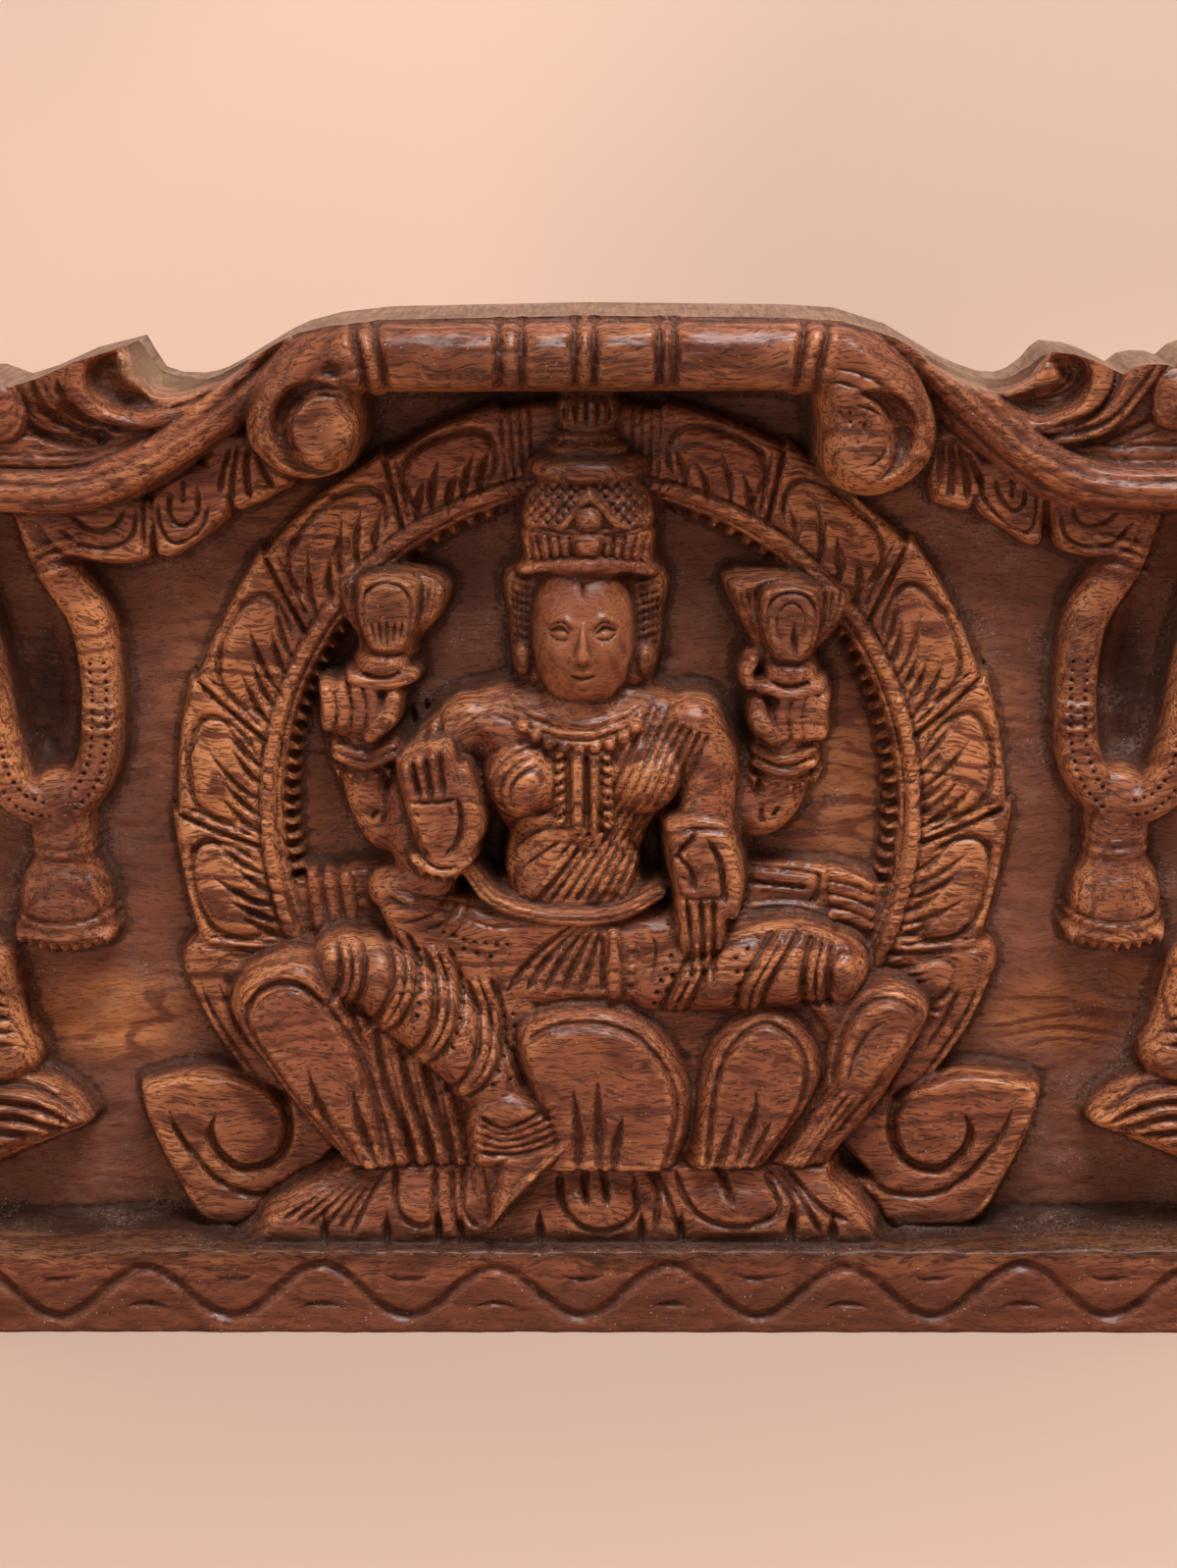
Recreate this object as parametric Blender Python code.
"""Carved wooden panel: a seated four-armed goddess in a petalled ring, under a scrolled top rail.

The panel is one plank, 60 mm thick, carved from the front. It is modelled as heights above its flat
back, on a grid of points whose top row follows the sawn upper edge, and then closed to the back.
Positions are (x, z) in millimetres, seen from the front, with the origin at the middle of the foot.
"""
import math

import bmesh
import bpy
import numpy as np

MM = 0.001

# Whole panel.
WIDTH = 384.0
HEIGHT = 304.6
DEPTH = 60.0
GRID_STEP = 2.0
LEVEL_ROWS = 236.0      # up to here the rows of the grid are level, above they follow the top edge
FACE_TRIANGLES = 8700    # of the carved face, before its edge and back are added
WALL = 7.0              # a carved side drops this many millimetres for each one it stands out

# Heights of the carving above the back.
GROUND = 20.0
INNER_FIELD = 17.5
RAIL = 50.0
RAIL_TOP = 26.3
RING = 30.0
TUBE_AXIS = 50.0
TUBE_RADIUS = 10.0
TUBE_LINE = 293.0
RING_CENTRE = (0.5, 155.0)
RING_OUTER = 124.0
RING_INNER = 97.0

# The sawn upper edge, from end to end.
TOP_LEFT = [(-192, 289), (-180, 286.5), (-174, 287), (-166, 284), (-158, 286.5), (-146, 291.8),
            (-131.5, 295.4), (-128.9, 290.7), (-125.8, 285.9), (-120.8, 284.3), (-114.6, 284.1),
            (-110.9, 284.6), (-107.2, 285.9), (-102.2, 288.5), (-97.3, 291.5), (-88, 297), (-82.4, 299.6),
            (-73, 302), (-58, 303.6)]
TOP_RIGHT = [(0, 304.6), (58, 303.8), (73, 302.8), (88, 298), (97, 292.7), (103.6, 288.8), (109.8, 286),
             (116, 283.9), (121, 283.6), (124.7, 284.9), (128.4, 287.6), (131.5, 291.3), (134, 293),
             (140.8, 292.3), (145.8, 290.7), (150.8, 288.2), (153.9, 286.6), (157, 289.1), (160.7, 289.9),
             (165.6, 289.7), (168.7, 288.6), (171.8, 291.6), (175.6, 293), (192, 290)]


def sawn_edge(x):
    """Height of the sawn upper edge at x."""
    known = np.array(TOP_LEFT + TOP_RIGHT, float)
    return np.interp(x, known[:, 0], known[:, 1])


class Board:
    """The carved face, as heights above the flat back."""

    def __init__(self, step):
        across = round(WIDTH / step) + 1
        level = round(LEVEL_ROWS / step)
        fanned = round((HEIGHT - LEVEL_ROWS) / step) + 1
        self.across = np.linspace(-WIDTH / 2, WIDTH / 2, across)
        share = np.linspace(0, 1, fanned)[:, None]
        low = np.repeat(np.linspace(0, LEVEL_ROWS, level, endpoint=False)[:, None], across, axis=1)
        high = LEVEL_ROWS + share * (sawn_edge(self.across)[None, :] - LEVEL_ROWS)
        self.z = np.vstack([low, high])
        self.x = np.repeat(self.across[None, :], len(self.z), axis=0)
        self.height = np.full(self.z.shape, GROUND)
        self.lowest = self.z.min(axis=1)
        self.highest = self.z.max(axis=1)

    def window(self, points, pad):
        """The rows and columns of the grid that hold these points, with a margin."""
        low = np.min(points, axis=0) - pad
        high = np.max(points, axis=0) + pad
        columns = slice(*np.searchsorted(self.across, [low[0], high[0]]))
        first = np.searchsorted(self.highest, low[1])
        last = np.searchsorted(self.lowest, high[1])
        return slice(first, last), columns

    def add(self, where, height, blend=0.0):
        """Raises the face to these heights, with a soft join when blend is over 0."""
        old = self.height[where]
        new = np.maximum(old, height)
        if blend:
            near = np.clip(1 - np.abs(old - height) / blend, 0, 1)
            new = new + near * near * blend / 4
        self.height[where] = new


def curve(points, steps=5, closed=False):
    """A smooth line through the points (Catmull-Rom)."""
    known = np.array(points, float)
    if closed:
        known = np.vstack([known[-1], known, known[0], known[1]])
    else:
        known = np.vstack([2 * known[0] - known[1], known, 2 * known[-1] - known[-2]])
    made = []
    for a, b, c, d in zip(known, known[1:], known[2:], known[3:]):
        for t in np.arange(steps) / steps:
            made.append(0.5 * (2 * b + (c - a) * t + (2 * a - 5 * b + 4 * c - d) * t ** 2
                               + (3 * b - a - 3 * c + d) * t ** 3))
    if not closed:
        made.append(known[-2])
    return np.array(made)


def nearest(x, z, line):
    """Distance of each point from a line, and how far along it the nearest place is, from 0 to 1."""
    steps = np.diff(line, axis=0)
    lengths = np.hypot(steps[:, 0], steps[:, 1]) + 1e-9
    starts = np.concatenate([[0], np.cumsum(lengths)])
    best = np.full(x.shape, 1e9)
    place = np.zeros(x.shape)
    for (ax, az), (dx, dz), length, start in zip(line, steps, lengths, starts):
        t = np.clip(((x - ax) * dx + (z - az) * dz) / length ** 2, 0, 1)
        gap = np.hypot(x - ax - t * dx, z - az - t * dz)
        closer = gap < best
        best = np.where(closer, gap, best)
        place = np.where(closer, (start + t * length) / starts[-1], place)
    return best, place


def depth_inside(x, z, outline):
    """Distance of each point inside a closed outline from its edge. It is negative outside."""
    ring = np.vstack([outline, outline[:1]])
    gap, _ = nearest(x, z, ring)
    odd = np.zeros(x.shape, bool)
    for (ax, az), (bx, bz) in zip(ring, ring[1:]):
        crosses = (az > z) != (bz > z)
        odd ^= crosses & (x < ax + (z - az) / (bz - az + 1e-12) * (bx - ax))
    return np.where(odd, gap, -gap)


def slab(board, outline, rim, top, shoulder, blend=0.0, smooth=True):
    """A raised shape. It stands at rim on its outline and rounds up to top within the shoulder."""
    edge = curve(outline, closed=True) if smooth else np.array(outline, float)
    where = board.window(edge, 5)
    depth = depth_inside(board.x[where], board.z[where], edge)
    rise = np.sin(np.clip(depth / shoulder, 0, 1) * math.pi / 2)
    board.add(where, np.where(depth > 0, rim + (top - rim) * rise, rim + depth * WALL), blend)


def limb(board, points, radii, axis, squash=1.0, blend=0.0):
    """A rounded limb along a line. radii and axis (its height) are spread evenly along it."""
    line = curve(points)
    where = board.window(line, max(radii) + 5)
    gap, place = nearest(board.x[where], board.z[where], line)
    radius = np.interp(place, np.linspace(0, 1, len(radii)), radii)
    level = np.interp(place, np.linspace(0, 1, len(axis)), axis)
    bulge = squash * np.sqrt(np.maximum(radius ** 2 - gap ** 2, 0))
    board.add(where, level + bulge - np.maximum(gap - radius, 0) * WALL, blend)


def dome(board, centre, radii, rim, top, turn=0.0, power=2.0, blend=0.0):
    """A rounded boss on an ellipse, turned by an angle in degrees."""
    where = board.window([centre], max(radii) + 5)
    east, north = board.x[where] - centre[0], board.z[where] - centre[1]
    cos, sin = math.cos(math.radians(turn)), math.sin(math.radians(turn))
    u = np.abs(east * cos + north * sin) / radii[0]
    v = np.abs(north * cos - east * sin) / radii[1]
    out = (u ** power + v ** power) ** (1 / power)
    bulge = (top - rim) * np.sqrt(np.clip(1 - out ** 2, 0, 1))
    board.add(where, rim + bulge - np.maximum(out - 1, 0) * min(radii) * WALL, blend)


def groove(board, points, width, depth, taper=0.25):
    """A cut with sloping sides along a line, running out to nothing at its ends."""
    line = curve(points)
    where = board.window(line, width)
    gap, place = nearest(board.x[where], board.z[where], line)
    run_out = np.clip(np.minimum(place, 1 - place) / taper, 0.02, 1) if taper else 1.0
    board.height[where] -= depth * run_out * np.clip(1 - gap / (width / 2 * run_out), 0, 1)


def hollow(board, outline, depth, shoulder):
    """Lowers what is inside an outline by this depth, with sloping sides."""
    edge = curve(outline, closed=True)
    where = board.window(edge, 2)
    inside = depth_inside(board.x[where], board.z[where], edge)
    board.height[where] -= depth * np.clip(inside / shoulder, 0, 1)


def turned_form(board, middle, profile, axis, squash):
    """A form as if turned on a lathe on an upright axis at x = middle. profile lists (z, radius)."""
    levels = np.array(profile, float)
    reach = levels[:, 1].max()
    where = board.window([(middle - reach, levels[0, 0]), (middle + reach, levels[-1, 0])], 4)
    x, z = board.x[where], board.z[where]
    radius = np.interp(z, levels[:, 0], levels[:, 1])
    gap = np.abs(x - middle)
    beyond = np.maximum(levels[0, 0] - z, 0) + np.maximum(z - levels[-1, 0], 0) + np.maximum(gap - radius, 0)
    board.add(where, axis + squash * np.sqrt(np.maximum(radius ** 2 - gap ** 2, 0)) - beyond * WALL)


def mirrored(points):
    return [(-x, z) for x, z in points]


# The plain parts of the plank: the field in the ring and the foot rail.

def carve_field(board):
    out = np.hypot(board.x - RING_CENTRE[0], board.z - RING_CENTRE[1])
    board.height[out < RING_INNER + 2] = INNER_FIELD
    board.height[board.z <= RAIL_TOP] = RAIL


def carve_ring(board):
    """The ring of petals round the figure, cut at each joint between two petals."""
    where = board.window([RING_CENTRE], RING_OUTER + 4)
    out = np.hypot(board.x[where] - RING_CENTRE[0], board.z[where] - RING_CENTRE[1])
    depth = np.minimum(RING_OUTER - out, out - RING_INNER)
    depth = np.minimum(depth, (board.z[where] - 92) * 2)
    swell = np.sin(np.clip(depth / 4, 0, 1) * math.pi / 2)
    board.add(where, np.where(depth > 0, RING - 2 + 3.5 * swell, RING - 2 + depth * WALL))
    for angle in RING_JOINTS:
        joint = [ring_point(RING_OUTER + 1, angle), ring_point(RING_INNER + 14, angle + lean(angle) * 0.4),
                 ring_point(RING_INNER + 3, angle + lean(angle))]
        groove(board, joint, 4.5, 4.0, taper=0.1)


RING_JOINTS = [-29, -19.2, 1.2, 20, 41.2, 62.5, 80, 102, 119, 140.5, 160.5, 179.5, 198.7, 208]
PETAL_LEAN = 7.0        # degrees by which a joint leans down from the rim of the ring to its inside


def lean(angle):
    """The joints lean outward near the sides of the ring and stand straight near its top."""
    side = 1 if angle > 90 else -1
    return side * PETAL_LEAN * min(abs(angle - 90) / 50, 1)


def ring_point(radius, angle):
    turn = math.radians(angle)
    return RING_CENTRE[0] + radius * math.cos(turn), RING_CENTRE[1] + radius * math.sin(turn)


# The top: a turned rail between two volutes, with a leafy wing on each side.

LEFT_WING = [(-192, 247), (-168, 247), (-150, 247.5), (-140, 249), (-130, 251.5), (-120, 257),
             (-110, 264.5), (-101, 271), (-97, 282), (-86, 300), (-86, 340), (-192, 340)]
LEFT_CREST = [(-192, 254.5), (-168, 253.5), (-150, 253.5), (-138, 257), (-124, 264), (-110, 273.5),
              (-98, 283.5), (-86, 296)]
RIGHT_WING = [(192, 247), (167, 246.5), (155, 246), (140, 247.5), (128, 252), (118, 260),
              (108, 268.5), (101, 275), (97, 286), (86, 302), (86, 340), (192, 340)]
RIGHT_CREST = [(192, 254.5), (166, 253.8), (150, 254.8), (138, 258.5), (124, 267.5), (110, 280),
               (98, 291), (86, 300)]
LEFT_VOLUTE = [(-58, 303.5), (-69, 303.2), (-80, 300), (-90, 292), (-96.5, 281), (-97, 269),
               (-90, 261), (-80, 258), (-71, 260.5), (-66, 267), (-64.5, 274), (-64, 282.5), (-58, 283)]
RIGHT_VOLUTE = [(58, 303.5), (70, 303.8), (80, 300.8), (90, 293), (97, 283), (100, 272),
                (98, 262), (90, 255), (81, 252.5), (72, 255.5), (67.5, 263), (67, 272), (65, 282), (58, 283)]


SAWN_NOTCHES = [
    [(-133.5, 302), (-132.5, 289), (-127.5, 281.5), (-121, 279.5), (-112, 281.5), (-97, 290), (-97, 302)],
    [(134, 302), (131, 288), (125, 282), (118, 281), (110, 283.5), (103, 287), (97, 291.5), (97, 302)],
]


def carve_top(board):
    slab(board, LEFT_WING, 38, 40, 3)
    slab(board, RIGHT_WING, 38, 40, 3)
    limb(board, LEFT_CREST, [6, 6, 5.5], [41, 42, 44], blend=3)
    limb(board, RIGHT_CREST, [6, 6, 5.5], [41, 42, 44], blend=3)
    for side, rim, heart in ((-1, (-133, 288), (-140, 285)), (1, (136, 286), (142, 285))):
        dome(board, rim, (15, 13), 37, 42, blend=3)
        dome(board, (side * 158, 277), (13, 10), 37, 42, turn=side * 35, blend=3)
        dome(board, (side * 172, 278.5), (9, 9), 42, 46, power=3)
        dome(board, heart, (6, 11), 40, 46, turn=side * -8, blend=2)
    beam = [(-70, 290), (70, 290), (70, 340), (-70, 340)]
    slab(board, beam, TUBE_AXIS, TUBE_AXIS, 1, smooth=False)
    limb(board, [(-66, TUBE_LINE), (66, TUBE_LINE)], [TUBE_RADIUS], [TUBE_AXIS])
    slab(board, LEFT_VOLUTE, 50, 58, 7)
    slab(board, RIGHT_VOLUTE, 50, 58, 7)
    groove(board, [(-86, 290), (-88, 280), (-87, 270), (-80, 263), (-72, 262)], 5, 4)
    groove(board, [(84, 287), (89, 280), (90.5, 270), (87, 261), (79, 257.5)], 8, 5)
    dome(board, (-74, 273), (9.5, 9.5), 53, DEPTH - 1.2, power=2.5)
    dome(board, (77, 270.5), (8.2, 8.2), 53, DEPTH - 1.6, power=2.5)
    for notch in SAWN_NOTCHES:
        hollow(board, notch, 26, 4)


LEFT_TRIM = [
    [(-163, 250), (-160, 241), (-154.5, 235), (-146, 232), (-137, 231), (-129.5, 232.5), (-127.5, 236),
     (-127.5, 251)],
    [(-126.5, 253), (-126.5, 236), (-124.5, 233.5), (-121, 233.5), (-115, 237), (-109, 241.5), (-104.5, 246),
     (-103, 256), (-110, 262)],
    [(-112, 262), (-108.5, 256), (-105, 250), (-101.5, 247), (-98, 248.5), (-95, 249.5), (-90, 252.5),
     (-86, 255), (-90, 264), (-97, 270), (-106, 270)],
]
RIGHT_TRIM = [
    [(163, 251), (161, 239), (156.5, 234), (148, 232.5), (140, 234), (136.5, 237), (134, 246), (134, 254)],
    [(132, 256), (133, 242), (132.5, 237), (129.5, 236), (123, 240), (114, 246), (112, 252), (112, 263)],
    [(116, 262), (117, 254), (113, 249), (110.5, 246.5), (104, 248), (101, 249.5), (99.5, 258), (101, 273),
     (108, 270)],
]


def carve_trim(board):
    """Small leaves that hang under the wings."""
    for leaf in LEFT_TRIM + RIGHT_TRIM:
        slab(board, leaf, 33, 37, 4)


# The two sides: a curling stem with a bell below it, a draped foot and a scrolled leaf.

STEM = [(164, 250), (157, 232), (147.5, 216), (144.5, 202), (144, 186), (146, 171), (153, 160.5),
        (162, 158.5), (171, 164), (176, 178), (180, 200), (184, 222)]
BELL = [(117, 15), (121, 15.4), (124, 14.2), (128, 14), (132, 13.8), (138, 12.4), (142.5, 10), (152, 9.5)]
INSIDE_STEM = [(152, 206), (150.5, 190), (152, 174), (160, 166), (169, 172), (173, 188), (176, 206)]
DRAPE = [(192, 80), (178, 77.5), (166, 75), (158, 71), (152.5, 65.5), (150.8, 61.5), (154, 59), (163, 55.5),
         (174, 51), (192, 45)]
DRAPED_LEG = [(192, 122), (177, 116), (172, 104), (170, 94), (166, 80), (178, 68), (192, 66)]
SCROLL_LEAF = [(96, 70), (104, 74), (112, 76), (122, 75.5), (134, 72.5), (136, 69), (133, 58),
               (127, 45), (117, 29), (96, 27), (72, 27), (74, 40), (88, 44), (93, 52), (91, 62)]


def carve_sides(board):
    for side in (-1, 1):
        turned = (lambda line: line) if side > 0 else mirrored
        slab(board, turned(SCROLL_LEAF), 31, 34, 4)
        limb(board, turned([(112, 108), (107, 92), (99, 77), (93.5, 64), (96, 53)]), [9, 6, 4.5], [26], 0.4)
        hollow(board, turned(INSIDE_STEM), 5.5, 7)
        limb(board, turned(STEM), [6.5, 6.3, 6.5, 7, 7], [30, 30, 31, 31, 30])
        turned_form(board, side * 157, BELL, 27.5, 0.95)
        slab(board, turned(DRAPED_LEG), 33, 38, 9)
        slab(board, turned(DRAPE), 34, 40, 8)


# The lotus seat.

WAIST = 50.3
SEAT_BODY = [(-98, 98), (-60, 104), (0, 106), (60, 106), (95, 98), (80, 64), (66, 46), (-66, 46), (-86, 70)]
SEAT_FLUTES = [(-70, 98), (-60, 92), (-50, 84), (-42, 78), (-36, 70), (-32, 58), (-31, 46), (-64, 46),
               (-66, 70)]
THIRD_BASE = [(64, 100), (72, 88), (71, 76), (66, 66), (56, 55), (49, 45), (68, 45), (78, 58), (88, 70),
              (96, 84), (90, 104), (76, 104)]
SEAT_PETALS = [
    ([(-107, 99), (-104, 107.5), (-97, 113.5), (-88, 116.5), (-80, 114), (-75, 107), (-70, 97), (-66, 88),
      (-63, 78), (-60, 66), (-57.5, 46), (-68, 46), (-77, 55), (-87, 67), (-96, 80), (-103, 90)], 40, 49.5),
    ([(69, 74), (71, 86), (74.5, 97), (80, 103.5), (88, 106.8), (96, 104.5), (101, 98.5), (99, 91),
      (92, 81), (82, 69), (72, 57), (64, 46), (52, 46), (61, 59)], 41, 49),
    ([(30, 45), (30, 60), (31.5, 74), (35, 87), (42, 96), (52, 100.5), (61, 97.5), (67.5, 89), (70, 79),
      (67, 69), (60, 59), (54, 51), (51, 45)], 40, 50),
    ([(-16, 98.5), (-6, 101), (4, 101), (13, 98.5), (22, 92), (28, 82.5), (31, 72), (30, 61),
      (26.5, 52), (25, 45), (-12, 45), (-14, 60), (-18, 72), (-22, 84), (-22, 93)], 41, 51.5),
]
SEAT_CUTS = [[(-50, 88), (-48, 70), (-46, 46)], [(-60, 94), (-57, 72), (-53, 46)],
             [(-42, 80), (-40, 62), (-39, 46)]]
SKIRT = [(-64, 54), (-78, 50), (-92, 43), (-101, 34), (-104, 12), (92, 12), (89, 31), (84, 39), (76, 47),
         (64, 54)]
SKIRT_LEVELS = ([26, 31, 38, 46, 52], [45, 46.5, 45.6, 43, 42.2])
SKIRT_JOINTS = [-80, -61, -42, -15, 15.5, 27.5, 60.5]


def carve_skirt(board):
    """Below the waist the seat flares forward again, so this replaces what stands there."""
    edge = curve(SKIRT, closed=True)
    where = board.window(edge, 2)
    x, z = board.x[where], board.z[where]
    depth = depth_inside(x, z, edge)
    level = np.interp(z, *SKIRT_LEVELS)
    flared = 29 + (level - 29) * np.sin(np.clip(depth / 6, 0, 1) * math.pi / 2)
    inside = (depth > 0) & (z < WAIST) & (z > RAIL_TOP)
    board.height[where] = np.where(inside, flared, board.height[where])
    for x in SKIRT_JOINTS:
        groove(board, [(x * 0.97, 46), (x, 36), (x, 27)], 5, 3, taper=0.2)


def carve_seat(board):
    slab(board, SEAT_BODY, 34, 40, 8, smooth=False)
    slab(board, SEAT_FLUTES, 41, 45.5, 3, smooth=False)
    for line in SEAT_CUTS:
        groove(board, line, 6, 3.5, taper=0.05)
    slab(board, THIRD_BASE, 38, 43, 4, smooth=False)
    for outline, rim, top in SEAT_PETALS:
        slab(board, outline, rim, top, 7)
    carve_skirt(board)


# The figure.

TORSO = [(-44, 187), (-30, 193), (-14, 195), (12, 195), (26, 191), (37, 187), (40, 177), (38, 166),
         (24, 160), (16, 148), (15, 138), (20, 127), (-32, 127), (-25, 137), (-22, 146), (-27, 156),
         (-32, 166), (-36, 177)]
LAP = [(-60, 134), (-30, 131), (0, 129), (24, 128), (40, 124), (30, 100), (0, 98), (-24, 98), (-34, 110)]
HANGING_LEG = [(-73, 111.5), (-63, 108.5), (-50, 99), (-38, 87), (-30, 76), (-26, 67)]
FOLDED_LEG = [(19, 106), (33, 109), (49, 111), (63, 112), (74, 110.5)]
CLOTH = [(-62, 129), (-46, 131), (-28, 122), (-19, 110), (-14, 96), (-24, 84), (-36, 98), (-52, 112)]
FOOT = [(-36, 70), (-36, 52), (-31, 33), (-18, 44), (-6, 58), (-6, 64), (-13, 71), (-24, 76)]
RAISED_HAND = [(-56, 172), (-54, 176), (-48, 179), (-41, 180.5), (-38.5, 176), (-37, 171), (-33, 165),
               (-32, 155), (-34, 146), (-40, 142), (-48, 144), (-53, 158)]
LOWERED_HAND = [(24, 154), (41, 155), (44, 146), (44.5, 128), (41, 127), (40, 118), (32, 116),
                (27, 119), (25, 135)]
LEFT_FIST = [(-79, 190), (-77, 195), (-66, 196), (-57, 194), (-56, 186), (-62, 178), (-71, 178), (-78, 183)]
RIGHT_FIST = [(47, 186), (49, 191), (58, 192), (68, 191), (70, 184), (66, 177), (55, 176), (49, 179)]
LEFT_FLOWER = [(-75, 226), (-66, 229.5), (-52, 230), (-41, 225), (-43, 216), (-50, 208), (-52, 203),
               (-66, 203), (-68, 209), (-73, 218)]
RIGHT_FLOWER = [(40, 226), (50, 228.5), (64, 228), (78, 222.5), (74, 212), (67, 204), (66, 199),
                (51, 199), (49, 206), (44, 216)]


def carve_throne(board):
    slab(board, [(46, 140), (70, 138), (89, 133), (89, 112), (46, 112)], 26, 29, 3, smooth=False)
    slab(board, [(-89, 133), (-70, 139), (-52, 141), (-52, 112), (-89, 112)], 26, 29, 3, smooth=False)


def carve_rear_arms(board):
    limb(board, [(-38, 182), (-56, 152), (-64, 158), (-67, 170), (-67, 182)], [8, 9, 8, 7, 7], [26, 25, 27, 30])
    limb(board, [(34, 180), (47, 158), (55, 160), (58, 170), (58, 182)], [8, 9, 9, 8, 8], [26, 25, 27, 30])
    slab(board, LEFT_FIST, 33, 39, 6)
    slab(board, RIGHT_FIST, 33, 39, 6)
    slab(board, LEFT_FLOWER, 30, 36, 6)
    slab(board, RIGHT_FLOWER, 30, 36, 6)
    dome(board, (-58.5, 217), (9.5, 12), 35, 42, power=2.8)
    dome(board, (59.5, 214), (9.5, 12), 35, 42, power=2.8)
    for x in (-60, 59.5):
        dome(board, (x, 200), (8, 4.5), 36, 41, power=3)


def carve_body(board):
    slab(board, LAP, 38, 44, 8, blend=3)
    slab(board, TORSO, 32, 41, 12, blend=2)
    limb(board, [(-2, 200), (-2, 184)], [11, 13], [29, 30], blend=4)
    dome(board, (-5, 142), (20, 20), 34, 42, blend=3)
    dome(board, (-19.5, 168), (11.5, 12), 36, 48, blend=2)
    dome(board, (17, 169), (11, 12), 36, 48, blend=3)
    limb(board, [(-35, 184), (-46, 172), (-52, 156), (-48, 140)], [8, 8.5, 9, 9], [31, 30, 30, 31], blend=2)
    limb(board, [(31, 183), (36, 172), (35, 158), (34, 148)], [9, 8, 8, 8], [34, 36, 38, 40], blend=3)
    limb(board, [(-60, 133), (-46, 137)], [6, 7], [32, 34])
    slab(board, CLOTH, 38, 42.5, 5)
    limb(board, HANGING_LEG, [10, 12.5, 13.5, 12.5, 10.5, 8], [37, 37, 37.5, 38.5, 40, 41], squash=0.97)
    limb(board, FOLDED_LEG, [8.5, 11.5, 13, 13, 9.5], [38], squash=0.94)
    slab(board, FOOT, 44, 51.5, 6)
    slab(board, RAISED_HAND, 46, 51.5, 5)
    slab(board, LOWERED_HAND, 46, 51.5, 5)


HAIR = [(-21, 230), (-23, 213), (-21.5, 199), (-16, 192), (14, 192), (20, 199), (21.5, 213), (20, 230)]
CROWN_BAND = [(-20.5, 230), (19, 230), (18.5, 242), (-18.5, 242)]
CROWN_TIERS = [(259, 15.5, 42.5), (264, 13, 41.5), (268, 10.5, 40), (275, 8, 38.5)]


def carve_head(board):
    slab(board, HAIR, 28, 35, 7)
    dome(board, (-1.2, 212), (15, 22), 37, 50, power=2.4)
    dome(board, (-1.2, 206), (2.6, 7), 46, 52, blend=2)
    dome(board, (0.5, 247), (18, 13), 35, 45, power=2.6)
    slab(board, CROWN_BAND, 40, 46, 4, smooth=False)
    for height, reach, level in CROWN_TIERS:
        dome(board, (0.3, height), (reach, 5), level - 6, level, power=2.6)


def carved_board(step):
    board = Board(step)
    carve_field(board)
    carve_ring(board)
    carve_trim(board)
    carve_top(board)
    carve_sides(board)
    carve_throne(board)
    carve_seat(board)
    carve_rear_arms(board)
    carve_body(board)
    carve_head(board)
    board.height = np.clip(board.height, 8.0, DEPTH)
    return board


def carved_face(board, triangles):
    """A grid shaped to the carved face, thinned to about this many triangles where the form allows."""
    rows, columns = board.height.shape
    bpy.ops.mesh.primitive_grid_add(x_subdivisions=columns - 1, y_subdivisions=rows - 1, size=1)
    face = bpy.context.object
    points = np.stack([board.x, DEPTH / 2 - board.height, board.z], axis=-1) * MM
    face.data.vertices.foreach_set("co", points.astype(np.float32).ravel())
    thin = face.modifiers.new("fewer_triangles", "DECIMATE")
    thin.ratio = triangles / (2 * len(face.data.polygons))
    thin.use_collapse_triangulate = True
    graph = bpy.context.evaluated_depsgraph_get()
    made = bpy.data.meshes.new_from_object(face.evaluated_get(graph))
    bpy.data.objects.remove(face)
    return made


def closed_plank(name, face):
    """The plank: the edge of the carved face is set true, drawn back and closed with the flat back."""
    mesh = bmesh.new()
    mesh.from_mesh(face)
    for vertex in (item for item in mesh.verts if item.is_boundary):
        x, z = vertex.co.x / MM, vertex.co.z / MM
        end = WIDTH / 2 - abs(x) < 0.4
        x = math.copysign(WIDTH / 2, x) if end else x
        if z < 0.4:
            z = 0.0
        elif not end or z > sawn_edge(x) - 0.4:
            z = float(sawn_edge(x))
        vertex.co.x, vertex.co.z = x * MM, z * MM
    edges = [edge for edge in mesh.edges if edge.is_boundary]
    drawn = bmesh.ops.extrude_edge_only(mesh, edges=edges)["geom"]
    for vertex in (item for item in drawn if isinstance(item, bmesh.types.BMVert)):
        vertex.co.y = DEPTH / 2 * MM
    bmesh.ops.holes_fill(mesh, edges=[edge for edge in mesh.edges if edge.is_boundary])
    bmesh.ops.triangulate(mesh, faces=mesh.faces)
    bmesh.ops.recalc_face_normals(mesh, faces=mesh.faces)
    data = bpy.data.meshes.new(name)
    mesh.to_mesh(data)
    mesh.free()
    return bpy.data.objects.new(name, data)


def wood_material(name):
    material = bpy.data.materials.new(name)
    material.use_nodes = True
    shader = material.node_tree.nodes["Principled BSDF"]
    shader.inputs["Base Color"].default_value = (0.16, 0.062, 0.03, 1)
    shader.inputs["Roughness"].default_value = 0.5
    return material


def clear_scene():
    for old in list(bpy.data.objects):
        bpy.data.objects.remove(old)


def build():
    clear_scene()
    collection = bpy.data.collections.new("carved_deity_panel")
    bpy.context.scene.collection.children.link(collection)
    face = carved_face(carved_board(GRID_STEP), FACE_TRIANGLES)
    panel = closed_plank("carved_panel", face)
    panel.data.materials.append(wood_material("carved_wood"))
    collection.objects.link(panel)


build()
